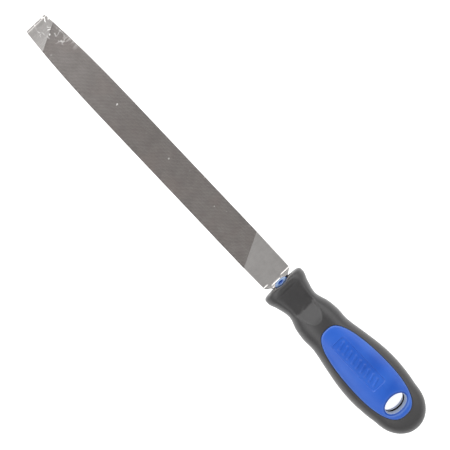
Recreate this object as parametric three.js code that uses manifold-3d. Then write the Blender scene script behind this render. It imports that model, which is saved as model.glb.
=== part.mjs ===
// A 200 mm flat file pressed into a two-component handle.
// Millimetres, +Z up. The pieces are drawn around the tool's long axis, with x = 0 at the handle's mouth:
// the blade points to +x and the handle runs to -x. At the end the group is moved so that its origin is the
// centre of its footprint, on the plane that the underside of the handle touches.

import * as THREE from "three";
import { mergeVertices } from "three/addons/utils/BufferGeometryUtils.js";
import Module from "manifold-3d";

const wasm = await Module();
wasm.setup();

// ---------------------------------------------------------------- driving dimensions

const GAP = 0.3; // clearance between pieces that touch on the real tool

const BLADE = {
  length: 200, // point to shoulder, the size a file is sold by
  width: 19.9,
  heelWidth: 19.3,
  heelTaper: 22, // length over which the width falls to the heel's
  tipWidth: 14.5,
  widthTaper: 72, // length over which the edges run in to the point
  thickness: 5,
  tipThickness: 3.6,
  thicknessTaper: 90,
  taperPower: 2.5, // how late the taper bites: 1 would be a straight wedge
  edgeChamfer: 0.25,
  tipBevel: 1.3, // length of the bevel at the point
  tipFaceThickness: 1.6,
};

const TANG = {
  // x, full width, full thickness: foot of the shoulder, the handle's mouth, the end inside the handle
  shoulderFoot: [1.2, 12.8, 4.6],
  mouth: [0, 11, 4.2],
  end: [-62, 4, 2.6],
  chamfer: 0.5,
};
const SHOULDER_LENGTH = 4.3; // mouth to the heel of the blade

const HANDLE = {
  length: 114.1,
  tailStart: 96, // where the round end begins
  squareness: 2.5, // exponent of the superelliptic section
  mouthFillet: 2,
  // distance behind the mouth, half width, half height; the round end is taken off the last two
  knots: [
    [0, 13.6, 11.5],
    [4.6, 13.75, 11.6],
    [9.2, 12, 11.2],
    [17.8, 10.2, 10.8],
    [26, 12.5, 11.1],
    [33, 13.35, 11.55],
    [41, 13.2, 11.75],
    [54, 15.4, 12.1],
    [66, 17.25, 12.3],
    [77, 17.8, 12.1],
    [88, 17, 11.3],
    [96, 15.8, 10.4],
    [104, 15.6, 10.1],
    [114.1, 15.4, 10],
  ],
};

// A shallow rest for the thumb, sunk into the top and the underside of the neck.
const SCOOP = { front: 4.8, deepest: 19.4, back: 31, width: 14, frontHeight: 9.9, floor: 8.2, rim: 11.2 };

const GRIP = { wall: 2.5, mouthWall: 3 };

// The outline is two half superellipses that meet where it is widest, each with an exponent along the tool
// and one across it.
const PANEL = {
  proud: 0.35, // how far the hard panels stand above the soft grip
  halfWidth: 12.75,
  front: 36.4,
  widest: 74,
  back: 102.5,
  frontExponents: [2, 2.85],
  backExponents: [2.4, 2.6],
};

// The oval hole through the tail. Waist and rim are shares of the nominal radius.
const HANG_HOLE = { centre: 93.7, along: 4.6, across: 7.4, waist: 0.92, rim: 1.13, rimFoot: 9.7, rimTop: 11 };

// The core shows at the mouth as an oval collar, with a small lip on each flat face of the tang.
const COLLAR = { halfWidth: 7, halfHeight: 5, depth: 4 };
const LIP = { root: -1.5, reach: 1.6, halfWidth: 4.3, halfHeight: 4.2 };

// ---------------------------------------------------------------- profiles

// A smooth curve through knots of [x, value, ...]; column picks the value.
function profile(knots, column) {
  const last = knots.length - 1;
  const slope = (i) => {
    const before = knots[Math.max(i - 1, 0)];
    const after = knots[Math.min(i + 1, last)];
    return (after[column] - before[column]) / (after[0] - before[0]);
  };
  return (x) => {
    const passed = knots.filter((knot) => knot[0] <= x).length;
    const i = THREE.MathUtils.clamp(passed - 1, 0, last - 1);
    const span = knots[i + 1][0] - knots[i][0];
    const t = THREE.MathUtils.clamp((x - knots[i][0]) / span, 0, 1);
    const ends = knots[i][column] * (1 + 2 * t) * (1 - t) ** 2 + knots[i + 1][column] * t * t * (3 - 2 * t);
    return ends + span * t * (1 - t) * (slope(i) * (1 - t) - slope(i + 1) * t);
  };
}

const handleHalfWidth = profile(HANDLE.knots, 1);
const handleHalfHeight = profile(HANDLE.knots, 2);

// How much of the full size the blade has reached: 0 at the point, 1 at the end of the taper.
function taperShare(fromTip, taperLength) {
  return 1 - Math.max(1 - fromTip / taperLength, 0) ** BLADE.taperPower;
}

// ---------------------------------------------------------------- solids

function solid(geometry) {
  const triangles = geometry.index ? geometry.toNonIndexed() : geometry;
  const bare = new THREE.BufferGeometry();
  bare.setAttribute("position", triangles.getAttribute("position"));
  const merged = mergeVertices(bare, 1e-3);
  const vertProperties = new Float32Array(merged.getAttribute("position").array);
  const triVerts = new Uint32Array(merged.index.array);
  return new wasm.Manifold(new wasm.Mesh({ numProp: 3, vertProperties, triVerts }));
}

function meshOf(manifold, name, material) {
  const { numProp, vertProperties, triVerts } = manifold.getMesh();
  const interleaved = new THREE.InterleavedBuffer(vertProperties, numProp);
  const geometry = new THREE.BufferGeometry();
  geometry.setAttribute("position", new THREE.InterleavedBufferAttribute(interleaved, 3, 0));
  geometry.setIndex(new THREE.BufferAttribute(triVerts, 1));
  const faceted = geometry.toNonIndexed();
  faceted.computeVertexNormals();
  const mesh = new THREE.Mesh(faceted, material);
  mesh.name = name;
  return mesh;
}

// A cylinder whose rings are moved onto stations, which run from +x to -x.
// section(station, angle) gives [y, z]; angle is measured around x, from +z towards +y.
function loft(stations, sides, section) {
  const steps = stations.length - 1;
  const geometry = new THREE.CylinderGeometry(1, 1, 1, sides, steps);
  const position = geometry.getAttribute("position");
  for (let i = 0; i < position.count; i++) {
    const station = stations[Math.round((0.5 - position.getY(i)) * steps)];
    const angle = Math.atan2(-position.getX(i), position.getZ(i));
    const capCentre = Math.hypot(position.getX(i), position.getZ(i)) < 0.5;
    const [y, z] = capCentre ? [0, 0] : section(station, angle);
    position.setXYZ(i, station.x, y, z);
  }
  return solid(geometry);
}

// A point on an ellipse drawn out towards its corners.
function superellipse(halfWidth, halfHeight, angle) {
  const swell = (value) => Math.sign(value) * Math.abs(value) ** (2 / HANDLE.squareness);
  return [halfWidth * swell(Math.sin(angle)), halfHeight * swell(Math.cos(angle))];
}

// The handle's distances behind the mouth at which it gets a ring of points.
function handleStations(inset, front, fillet) {
  const { length, tailStart } = HANDLE;
  const quarterTurn = Math.PI / 2;
  const distances = [front];
  const filletSteps = fillet > 0 ? 3 : 0;
  for (let i = 1; i <= filletSteps; i++) {
    distances.push(front + fillet * (1 - Math.cos((i / filletSteps) * quarterTurn)));
  }
  const bodyStart = front + fillet;
  const bodySteps = 26;
  for (let i = 1; i <= bodySteps; i++) {
    distances.push(bodyStart + ((tailStart - bodyStart) * i) / bodySteps);
  }
  const tailSteps = 8;
  const tailTurn = 0.97 * quarterTurn; // just short of a point
  for (let i = 1; i <= tailSteps; i++) {
    distances.push(tailStart + (length - inset - tailStart) * Math.sin((i / tailSteps) * tailTurn));
  }
  return distances;
}

// The handle's outer form moved inwards by inset, with its mouth end at front.
function handleForm(inset, front, fillet) {
  const { length, tailStart } = HANDLE;
  const stations = handleStations(inset, front, fillet).map((distance) => {
    const intoTail = Math.max(distance - tailStart, 0) / (length - inset - tailStart);
    const tail = Math.sqrt(1 - intoTail ** 2);
    const intoFillet = Math.max(front + fillet - distance, 0);
    const setBack = fillet - Math.sqrt(fillet ** 2 - intoFillet ** 2);
    return {
      x: -distance,
      halfWidth: (handleHalfWidth(distance) - inset - setBack) * tail,
      halfHeight: (handleHalfHeight(distance) - inset - setBack) * tail,
    };
  });
  const sides = 36;
  const section = ({ halfWidth, halfHeight }, angle) => superellipse(halfWidth, halfHeight, angle);
  return loft(stations, sides, section).subtract(thumbScoops(inset));
}

// What the two thumb scoops take away from the handle, moved inwards by inset.
function thumbScoops(inset) {
  const { front, deepest, back, width, frontHeight, floor, rim } = SCOOP;
  const clear = 20;
  const side = new THREE.Shape();
  side.moveTo(-front + inset, clear);
  side.lineTo(-front + inset, frontHeight - inset);
  side.lineTo(-deepest, floor - inset);
  side.lineTo(-back, rim - inset);
  side.lineTo(-back, clear);
  const depth = width + 2 * inset;
  const cutter = new THREE.ExtrudeGeometry(side, { depth, bevelEnabled: false });
  cutter.rotateX(Math.PI / 2).translate(0, depth / 2, 0);
  return solid(cutter).add(solid(cutter.clone().rotateX(Math.PI)));
}

// A prism through the handle with the panels' outline, moved outwards by margin.
function panelPrism(margin) {
  const { halfWidth, front, widest, back, frontExponents, backExponents } = PANEL;
  const outline = [];
  const steps = 64;
  for (let i = 0; i < steps; i++) {
    const angle = ((i + 0.5) / steps) * 2 * Math.PI;
    const [cosine, sine] = [Math.cos(angle), Math.sin(angle)];
    const [reach, [along, across]] =
      cosine > 0 ? [widest - front, frontExponents] : [back - widest, backExponents];
    const x = Math.sign(cosine) * Math.abs(cosine) ** (2 / along) * (reach + margin);
    const y = Math.sign(sine) * Math.abs(sine) ** (2 / across) * (halfWidth + margin);
    outline.push(new THREE.Vector2(x - widest, y));
  }
  const depth = 40;
  const prism = new THREE.ExtrudeGeometry(new THREE.Shape(outline), { depth, bevelEnabled: false });
  return solid(prism.translate(0, 0, -depth / 2));
}

// The hole narrows to its waist halfway through, and opens out at both faces.
function hangHole() {
  const { centre, along, across, waist, rim, rimFoot, rimTop } = HANG_HOLE;
  const clear = 20;
  const above = [
    [1, rimFoot],
    [rim, rimTop],
    [rim, clear],
    [0, clear],
  ];
  const below = above.map(([radius, height]) => [radius, -height]).reverse();
  const points = [...below, [waist, 0], ...above].map(([radius, height]) => new THREE.Vector2(radius, height));
  const hole = new THREE.LatheGeometry(points, 32);
  return solid(hole.rotateX(Math.PI / 2).scale(along, across, 1).translate(-centre, 0, 0));
}

// The oval collar in the mouth, moved outwards by margin.
function collar(margin, front) {
  const stations = [{ x: front }, { x: -COLLAR.depth }];
  const section = (station, angle) =>
    superellipse(COLLAR.halfWidth + margin, COLLAR.halfHeight + margin, angle);
  return loft(stations, 28, section);
}

function tangLips() {
  const dome = new THREE.SphereGeometry(1, 20, 12);
  dome.scale(LIP.reach - LIP.root, LIP.halfWidth, LIP.halfHeight);
  return solid(dome.translate(LIP.root, 0, 0));
}

// The whole forging, moved outwards by margin.
function forging(margin) {
  const tip = SHOULDER_LENGTH + BLADE.length;
  const station = (x, width, thickness, chamfer) => {
    return { x, halfWidth: width / 2 + margin, halfThickness: thickness / 2 + margin, chamfer };
  };
  const bladeStation = (fromTip) => {
    const { length, width, heelWidth, heelTaper, tipWidth, widthTaper } = BLADE;
    const { thickness, tipThickness, thicknessTaper, edgeChamfer } = BLADE;
    const intoHeel = Math.max(fromTip - (length - heelTaper), 0) / heelTaper;
    const fullWidth = tipWidth + (width - tipWidth) * taperShare(fromTip, widthTaper);
    return station(
      tip - fromTip,
      fullWidth - (width - heelWidth) * intoHeel,
      tipThickness + (thickness - tipThickness) * taperShare(fromTip, thicknessTaper),
      edgeChamfer,
    );
  };
  const taperSteps = 12;
  const taper = [];
  for (let i = 1; i <= taperSteps; i++) {
    taper.push(bladeStation(BLADE.thicknessTaper * (i / taperSteps) ** 1.5));
  }
  const stations = [
    station(tip + margin, BLADE.tipWidth - 0.6, BLADE.tipFaceThickness, BLADE.edgeChamfer),
    bladeStation(BLADE.tipBevel),
    ...taper,
    bladeStation(BLADE.length - BLADE.heelTaper),
    bladeStation(BLADE.length),
    station(...TANG.shoulderFoot, TANG.chamfer),
    station(...TANG.mouth, TANG.chamfer),
    station(TANG.end[0] - margin, TANG.end[1], TANG.end[2], TANG.chamfer),
  ];
  return loft(stations, 8, chamferedBar);
}

// A bar's rectangular section with its four corners chamfered, as eight points.
function chamferedBar({ halfWidth, halfThickness, chamfer }, angle) {
  const [w, t] = [halfWidth, halfThickness];
  const quarter = [
    [w - chamfer, t],
    [w, t - chamfer],
  ];
  const [a, b] = quarter;
  const corners = [a, b, [b[0], -b[1]], [a[0], -a[1]], [-a[0], -a[1]], [-b[0], -b[1]], [-b[0], b[1]], [-a[0], a[1]]];
  return corners[(Math.round(angle / (Math.PI / 4)) + 8) % 8];
}

// ---------------------------------------------------------------- pieces

const steel = new THREE.MeshStandardMaterial({ color: 0x8b8581, roughness: 0.42, metalness: 1 });
const hardPlastic = new THREE.MeshStandardMaterial({ color: 0x2f62cf, roughness: 0.38, metalness: 0 });
const softPlastic = new THREE.MeshStandardMaterial({ color: 0x4b4947, roughness: 0.6, metalness: 0 });

function fileBlade() {
  return meshOf(forging(0), "file_blade", steel);
}

function handleCore() {
  const pads = panelPrism(0).intersect(handleForm(-PANEL.proud, 0, 0));
  const core = handleForm(GRIP.wall, GRIP.mouthWall, 0)
    .add(pads)
    .add(collar(0, 0))
    .add(tangLips())
    .subtract(forging(GAP))
    .subtract(hangHole());
  return meshOf(core, "handle_core", hardPlastic);
}

function gripOvermould() {
  const grip = handleForm(0, 0, HANDLE.mouthFillet)
    .subtract(handleForm(GRIP.wall - GAP, GRIP.mouthWall - GAP, 0))
    .subtract(panelPrism(GAP))
    .subtract(collar(GAP, 1));
  return meshOf(grip, "grip_overmould", softPlastic);
}

const flatFile = new THREE.Group();
flatFile.add(fileBlade(), handleCore(), gripOvermould());

const extent = new THREE.Box3().setFromObject(flatFile);
flatFile.position.set(-(extent.min.x + extent.max.x) / 2, 0, -extent.min.z);

export default flatFile;
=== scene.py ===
# The looks of a 200 mm flat file with a two-component handle.
#
# Shapes are worked out in millimetres around the tool's long axis: x is 0 at the handle's mouth and grows
# towards the point of the blade, y runs across the tool, and z is 0 halfway through the blade. s is the
# distance behind the mouth, so s = -x. to_frame() puts finished points into the row frame, in metres.
import math
from types import SimpleNamespace as Values

import bmesh
import bpy
import numpy as np
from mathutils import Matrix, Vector
from mathutils.geometry import delaunay_2d_cdt


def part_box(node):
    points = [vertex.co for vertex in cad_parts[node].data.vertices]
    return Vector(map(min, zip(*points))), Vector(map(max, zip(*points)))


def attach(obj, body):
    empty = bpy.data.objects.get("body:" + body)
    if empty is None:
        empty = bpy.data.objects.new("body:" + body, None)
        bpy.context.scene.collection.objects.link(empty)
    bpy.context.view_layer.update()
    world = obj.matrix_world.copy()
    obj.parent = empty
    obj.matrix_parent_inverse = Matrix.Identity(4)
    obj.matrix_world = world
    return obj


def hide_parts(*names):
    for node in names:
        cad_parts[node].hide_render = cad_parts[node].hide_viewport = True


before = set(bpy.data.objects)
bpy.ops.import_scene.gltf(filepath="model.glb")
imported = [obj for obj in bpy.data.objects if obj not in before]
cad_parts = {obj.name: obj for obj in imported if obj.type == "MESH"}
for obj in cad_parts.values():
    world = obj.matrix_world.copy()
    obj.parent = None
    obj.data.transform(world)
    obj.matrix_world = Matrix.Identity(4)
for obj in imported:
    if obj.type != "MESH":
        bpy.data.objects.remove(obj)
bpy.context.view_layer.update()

# ---- sizes, in millimetres

BLADE_LENGTH = 200
SHOULDER_LENGTH = 4.3
TIP_X = SHOULDER_LENGTH + BLADE_LENGTH

BLADE_WIDTH = 19.9
HEEL_WIDTH = 19.3
HEEL_TAPER = 22
TIP_WIDTH = 14.5
WIDTH_TAPER = 72
BLADE_THICKNESS = 5.0
TIP_THICKNESS = 3.6
THICKNESS_TAPER = 90
TAPER_POWER = 2.5

# The cut: two rows of parallel furrows that cross and leave pointed teeth. across is the direction across
# the furrows, and crest the share of the way from one root to the next at which the crest stands.
CUT_END_TIP_X = 193.4
CUT_END_HEEL_X = 25.4
CUT_END_SLANT = 0.5
UPCUT = Values(pitch=0.7, across=(1.0, 0.5), crest=0.72)
OVERCUT = Values(pitch=0.8, across=(1.0, -0.9), crest=0.5)
TOOTH_DEPTH = 0.2
BAR_DEPTH = 0.3  # of the plain steel below the tips of the teeth
BAR_INSET = 0.06
BAR_OVERLAP = 4
# How far teeth stray from an even spacing, and the lengths of the two waves in which they do.
WANDER = Values(reach=0.13, length=3.7, inner_length=5.3)
SLAB_DEPTH = 0.6
EDGE_CHAMFER = 0.25
LAND_OVERLAP = 0.15
CUT_MARGIN = 0.45
LATTICE_REACH = 8  # past the ends of the cut, before it is clipped
CLIP_REACH = 7
LATTICE_HALF_WIDTH = 11
# The single cut on the two narrow edges.
EDGE_CUT = Values(pitch=0.8, depth=0.22, crest=0.7, slant=0.5, sunk=0.02, end_margin=6, side_margin=0.55)
# The point's bevel, in two steps: their lengths, half heights, and how much narrower they are than the tip.
# A section just behind, by crease, keeps its edge crisp.
TIP_BEVEL = Values(outer=0.75, inner=0.9, outer_height=0.25, inner_height=1.35, outer_inset=0.5,
                   inner_inset=0.05, crease=0.1)

# The heel towards the shoulder: x, share of the slant at the end of the cut.
HEEL_RINGS = ((20.5, 0.75), (15.5, 0.45), (10.5, 0.15), (7, 0))
# The shoulder behind the flat, from its crest down to the tang: x, half width, half thickness, how far
# the crest is drawn out towards the handle, and the height of the burr along it.
SHOULDER_RINGS = (
    (5.2, 9.65, 2.5, 1.6, 0.0), (4.8, 9.65, 2.5, 2.1, 0.0), (4.3, 9.6, 2.5, 2.2, 0.22),
    (4.05, 9.4, 2.25, 2.2, 0.0),
    (3.0, 8.3, 2.34, 1.7, 0.0), (2.1, 7.4, 2.42, 1.2, 0.0), (1.2, 6.4, 2.48, 0.6, 0.0),
)
# The tang: x, half width, half thickness.
TANG_RINGS = ((0.4, 5.7, 2.2), (-8, 4.9, 1.95), (-61, 2.0, 1.2))
# The crest runs across the blade in three steps: y, share of the full reach.
CREST_STEPS_Y = (-2.8, -1.9, 5.3, 6.1)
CREST_STEPS = (0.5, 1.0, 1.0, 0.1)
CREST_GAPS_Y = (-2.35, 5.7)  # where the burr is broken, at the steps
CREST_GAP_WIDTH = 0.7

# The handle: distance behind the mouth, half width, half height.
HANDLE_KNOTS = np.array([
    (0, 13.6, 11.5), (4.6, 13.75, 11.6), (9.2, 12.0, 11.2), (17.8, 10.2, 10.8), (26, 12.5, 11.1),
    (33, 13.35, 11.55), (41, 13.2, 11.75), (54, 15.4, 12.1), (66, 17.25, 12.3), (77, 17.8, 12.1),
    (88, 17.0, 11.3), (96, 15.8, 10.4), (104, 15.6, 10.1), (114.1, 15.4, 10.0),
])
HANDLE_LENGTH = 114.1
TAIL_START = 96.0
TAIL_REACH = HANDLE_LENGTH - TAIL_START
SQUARENESS = 2.5
MOUTH_FILLET = 2.0

# The thumb scoop: a bowl that falls away from the guard, then a tongue that climbs out of it.
SCOOP = Values(front=5.4, deepest=19.4, back=30.4, margin=3, front_height=9.8, floor=8.2, rim=11.4,
               crease=0.3, front_slope=0.45, bowl_curve=0.006, bowl_blend=1.6, turnover=3,
               tongue_half_width=5.3, tongue_square=22.0, tongue_slope=0.5, tongue_blend=0.5)

PANEL = Values(proud=0.35, proud_sides=0.08, half_width=12.75, front=36.4, widest=74.0, back=102.5,
               front_exponents=(2.0, 2.85), back_exponents=(2.4, 2.6), edge_round=0.3, bevel_width=0.8,
               bevel_slope=0.4)
SEAM = 0.12
FLANGE_WIDTH = 1.2  # the core spreads out again below the grip
FLANGE_INSET = 2.6

HOLE = Values(centre=93.7, along=4.6, across=7.4, waist=0.92, chamfer_width=1.0, chamfer_depth=0.42,
              groove_half_height=2.4, groove_depth=1.0)
FRAME = Values(front=44.8, back=80.8, half_width=5.3, corner=1.0, height=0.06, field_depth=0.3,
               slope_width=0.45)
BARS = Values(count=9, spread=28.0, half_length=2.9, half_width=0.85, slant=0.28, corner=0.35,
              slope_width=0.42, top_inset=1.1, height=0.34)

# The lip on the tang. Its surface goes down to undercut, in degrees from the top, and closes a little lower.
LIP = Values(x=0.3, reach=1.85, half_width=4.3, foot=1.9, rise=1.6, undercut=96, closing=0.4, dimple=0.8,
             dimple_width=0.42)
# The collar, from its closed end inside the panels, over its front edge and back into the flat socket round
# the tang: distance behind the mouth, half width, half height, squareness.
COLLAR_RINGS = (
    (40, 0, 0, 2.5), (40, 7, 5, 2.5), (2.4, 7, 5, 2.5), (2.1, 6.95, 4.95, 2.5), (2.02, 6.8, 4.8, 2.5),
    (2.0, 6.5, 4.5, 2.6), (2.0, 5.95, 2.75, 5), (2.1, 5.8, 2.6, 6), (38, 5.75, 2.45, 6), (38, 0, 0, 6),
)
MOUTH_HALF = (7.3, 5.3)
MOUTH_DEPTH = 3.0
# The guard's face, from its rounded edge to the mouth: share of the way, distance behind the mouth.
FACE_STEPS = ((0.5, 0.12), (0.93, 0.0), (0.98, 0.03), (1.0, 0.2))
NOTCH = Values(depth=1.0, half_width=3.7)  # in the guard's face, above and below the tang
GRIP_WALL = 2.4

# Light painted on the blue plastic, carried with its wear: 1 is lightened to white, partly rubbed and partly
# as painted highlights and reflections, and 1 of painted shade hides the blue. Places and widths are
# distances from the edge or rim, and on the lip radians from its top.
WEAR_AND_HIGHLIGHTS = Values(edge=0.16, edge_width=0.35, rim=0.32, rim_at=1.2, rim_width=0.4, rim_least=0.2, rim_start=0.1,
              hole=0.75, lip=0.85, lip_at=0.8, lip_width=0.4)
# Painted shade: dark in the hole's rim, its groove, the collar deep in the mouth and the lip's dimple.
PAINTED_SHADE = Values(rim=0.6, rim_at=0.4, rim_width=0.3, groove=1.0, collar=0.6, dimple=0.45, dimple_width=0.35)

# ---- placing

blade_low, blade_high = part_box("file_blade")
MOUTH_X = blade_high.x * 1000 - TIP_X
AXIS_Z = (blade_low.z + blade_high.z) * 500
BLADE_END = (MOUTH_X + TIP_X) / 1000  # x of the blade's point in the row frame, in metres


def to_frame(points):
    """Millimetres about the tool's axis to metres in the row frame."""
    return (np.asarray(points, dtype=float) + (MOUTH_X, 0, AXIS_Z)) / 1000


# ---- profiles

def full_turn(count):
    """Evenly spaced angles all the way round."""
    return np.linspace(0, 2 * math.pi, count, endpoint=False)


def swell(value, exponent):
    """The sine or cosine of a circle's angle turned into that of a superellipse."""
    return np.sign(value) * np.abs(value) ** (2 / exponent)


def profile(x, column):
    """A smooth curve through the handle's knots."""
    knots, values = HANDLE_KNOTS[:, 0], HANDLE_KNOTS[:, column]
    before = np.maximum(np.arange(len(knots)) - 1, 0)
    after = np.minimum(np.arange(len(knots)) + 1, len(knots) - 1)
    slopes = (values[after] - values[before]) / (knots[after] - knots[before])
    i = np.clip(np.searchsorted(knots, x, side="right") - 1, 0, len(knots) - 2)
    span = knots[i + 1] - knots[i]
    t = np.clip((x - knots[i]) / span, 0, 1)
    ends = values[i] * (1 + 2 * t) * (1 - t) ** 2 + values[i + 1] * t * t * (3 - 2 * t)
    return ends + span * t * (1 - t) * (slopes[i] * (1 - t) - slopes[i + 1] * t)


def handle_half_sizes(s, inset=0.0):
    """Half width and half height of the handle, or of a surface that lies inset below its own."""
    into_tail = np.clip((s - TAIL_START) / (TAIL_REACH - inset), 0, 1)
    tail = np.sqrt(1 - into_tail ** 2)
    return (profile(s, 1) - inset) * tail, (profile(s, 2) - inset) * tail


def stacked(*coordinates):
    """Points from their coordinates, each of which is an array or one number for all."""
    return np.column_stack(np.broadcast_arrays(*coordinates))


def taper_share(from_tip, length):
    """How much of its full size the blade has reached: 0 at the tip, 1 from length on."""
    return 1 - np.maximum(1 - from_tip / length, 0) ** TAPER_POWER


def blade_half_width(x):
    """Half width of the blade, which narrows towards its point and a little at its heel."""
    from_tip = TIP_X - x
    into_heel = np.clip((from_tip - BLADE_LENGTH + HEEL_TAPER) / HEEL_TAPER, 0, 1)
    full = TIP_WIDTH + (BLADE_WIDTH - TIP_WIDTH) * taper_share(from_tip, WIDTH_TAPER)
    return (full - (BLADE_WIDTH - HEEL_WIDTH) * into_heel) / 2


def blade_half_thickness(x):
    """Half thickness of the blade over the tips of its teeth."""
    share = taper_share(TIP_X - x, THICKNESS_TAPER)
    return (TIP_THICKNESS + (BLADE_THICKNESS - TIP_THICKNESS) * share) / 2


def superellipse(half_width, half_height, angle, exponent=SQUARENESS):
    """A place (y, z) on a section; angle is measured from +z towards +y."""
    return half_width * swell(np.sin(angle), exponent), half_height * swell(np.cos(angle), exponent)


def round_off(distance, radius):
    """How far a rounded edge has dropped at a distance inside it."""
    inside = np.clip(radius - distance, 0, radius)
    return radius - np.sqrt(radius ** 2 - inside ** 2)


def bell(distance, width, power=2):
    """1 at no distance, falling smoothly to almost 0 at twice the width."""
    return np.exp(-(distance / width) ** power)


# ---- meshes

ON_RING = 0.001
MERGE_DISTANCE = 1e-4
FLAT_TOLERANCE = 1e-6
SHARP_ANGLE = 32  # degrees; faces that meet more sharply than this keep a crisp edge


def join_shells(shells):
    """Several (points, faces) as one."""
    points, faces = [], []
    for shell_points, shell_faces in shells:
        start = sum(len(p) for p in points)
        points.append(np.asarray(shell_points, dtype=float).reshape(-1, 3))
        faces += [tuple(start + int(i) for i in face) for face in shell_faces]
    return np.concatenate(points), faces


def ring_faces(rings, count, closed=True):
    """Quads between rings of count points."""
    last = count if closed else count - 1
    return [
        (r * count + i, r * count + (i + 1) % count, (r + 1) * count + (i + 1) % count, (r + 1) * count + i)
        for r in range(rings - 1) for i in range(last)
    ]


def tube(rings, closed=True):
    """A skin through rings that have the same number of points."""
    return np.vstack(rings), ring_faces(len(rings), len(rings[0]), closed)


def mirrored(shell):
    """The same shell with z turned over."""
    points, faces = shell
    return points * (1, 1, -1), list(faces)


def half_turned(shell):
    """The same shell turned by 180 degrees about the tool's axis."""
    points, faces = shell
    return points * (1, -1, -1), list(faces)


def make_object(name, shell, materials, material_of_face=None, attribute=None):
    """One piece of the tool; attribute is (name, value of each point)."""
    points, faces = shell
    mesh = bpy.data.meshes.new(name)
    mesh.from_pydata(to_frame(points).tolist(), [], faces)
    if material_of_face is not None:
        mesh.polygons.foreach_set("material_index", material_of_face)
    if attribute is not None:
        layer = mesh.attributes.new(attribute[0], "FLOAT", "POINT")
        layer.data.foreach_set("value", attribute[1])
    for material in materials:
        mesh.materials.append(material)
    tidy = bmesh.new()
    tidy.from_mesh(mesh)
    bmesh.ops.remove_doubles(tidy, verts=tidy.verts, dist=MERGE_DISTANCE / 1000)
    bmesh.ops.recalc_face_normals(tidy, faces=tidy.faces)
    tidy.to_mesh(mesh)
    tidy.free()
    mesh.shade_smooth()
    mesh.set_sharp_from_angle(angle=math.radians(SHARP_ANGLE))
    piece = bpy.data.objects.new(name, mesh)
    bpy.context.scene.collection.objects.link(piece)
    return piece


def resampled(curve, spacing):
    """A closed curve's points at an even spacing."""
    closed = np.vstack([curve, curve[:1]])
    along = np.concatenate([[0], np.cumsum(np.linalg.norm(np.diff(closed, axis=0), axis=1))])
    count = max(int(round(along[-1] / spacing)), 8)
    wanted = np.arange(count) * along[-1] / count
    return np.column_stack([np.interp(wanted, along, closed[:, k]) for k in range(2)])


def offset_ring(ring, distance):
    """A counter-clockwise ring moved outwards along its normals."""
    tangent = np.roll(ring, -1, axis=0) - np.roll(ring, 1, axis=0)
    normal = stacked(tangent[:, 1], -tangent[:, 0])
    return ring + distance * normal / np.linalg.norm(normal, axis=1)[:, None]


def distance_to(points, ring):
    """Distance from each point to a closed ring, by its closest edge; points on the ring get exactly 0."""
    start, end = ring, np.roll(ring, -1, axis=0)
    edge = end - start
    nearest = np.full(len(points), np.inf)
    for a, e in zip(start, edge):
        t = np.clip(((points - a) @ e) / (e @ e), 0, 1)
        nearest = np.minimum(nearest, np.linalg.norm(points - a - t[:, None] * e, axis=1))
    return np.where(nearest < ON_RING, 0, nearest)


def inside_ring(points, ring):
    """Whether each point lies inside a closed ring."""
    x, y = points[:, 0], points[:, 1]
    inside = np.zeros(len(points), dtype=bool)
    for (x0, y0), (x1, y1) in zip(ring, np.roll(ring, -1, axis=0)):
        crosses = (y0 > y) != (y1 > y)
        if y0 != y1:
            inside ^= crosses & (x < (x1 - x0) * (y - y0) / (y1 - y0) + x0)
    return inside


def hexagonal_grid(low, high, spacing):
    """Points in even triangles over a rectangle."""
    rows = np.arange(low[1], high[1], spacing * math.sqrt(3) / 2)
    columns = np.arange(low[0], high[0], spacing)
    return np.array([(x + (i % 2) * spacing / 2, y) for i, y in enumerate(rows) for x in columns])


def triangulated(loops, fill, outer, holes):
    """Triangles of the flat region inside outer and outside holes, keeping the edges of every loop."""
    points, edges = [], []
    for loop in loops:
        first = len(points)
        points += [Vector(p) for p in loop]
        edges += [(first + i, first + (i + 1) % len(loop)) for i in range(len(loop))]
    points += [Vector(p) for p in fill]
    made, _, faces, *_ = delaunay_2d_cdt(points, edges, [], 0, FLAT_TOLERANCE)
    made = np.array([tuple(p) for p in made])
    faces = np.array(faces)
    centres = made[faces].mean(axis=1)
    keep = inside_ring(centres, outer)
    for hole in holes:
        keep &= ~inside_ring(centres, hole)
    return made, faces[keep]


def clear_of(points, rings, distance):
    """The points further than distance from every ring."""
    for ring in rings:
        points = points[distance_to(points, ring) > distance]
    return points


# ---- outlines

OUTLINE_STEPS = 1440
OUTLINE_SPACING = 0.9
HOLE_POINTS = 72
CORNER_STEPS = 8


def panel_outline(margin):
    """The panel's outline in (s, y), counter-clockwise, moved outwards by margin."""
    angle = full_turn(OUTLINE_STEPS)
    cosine, sine = np.cos(angle), np.sin(angle)
    towards_back = cosine > 0
    reach = np.where(towards_back, PANEL.back - PANEL.widest, PANEL.widest - PANEL.front)
    along = np.where(towards_back, PANEL.back_exponents[0], PANEL.front_exponents[0])
    across = np.where(towards_back, PANEL.back_exponents[1], PANEL.front_exponents[1])
    s = PANEL.widest + swell(cosine, along) * reach
    ring = resampled(stacked(s, swell(sine, across) * PANEL.half_width), OUTLINE_SPACING)
    return offset_ring(ring, margin) if margin else ring


def hole_outline(margin):
    """The hang hole's outline in (s, y), counter-clockwise, moved outwards by margin."""
    angle = full_turn(HOLE_POINTS)
    along, across = HOLE.along + margin, HOLE.across + margin
    return stacked(HOLE.centre + along * np.cos(angle), across * np.sin(angle))


def rounded_rectangle(front, back, half_width, corner, spacing):
    """A rectangle with round corners in (s, y), counter-clockwise."""
    rear, fore, side = back - corner, front + corner, half_width - corner
    ring = []
    for start, s, y in ((0, rear, side), (90, fore, side), (180, fore, -side), (270, rear, -side)):
        for step in range(CORNER_STEPS + 1):
            turn = math.radians(start + 90 * step / CORNER_STEPS)
            ring.append((s + corner * math.cos(turn), y + corner * math.sin(turn)))
    return resampled(np.array(ring), spacing)


# ---- grip

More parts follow.
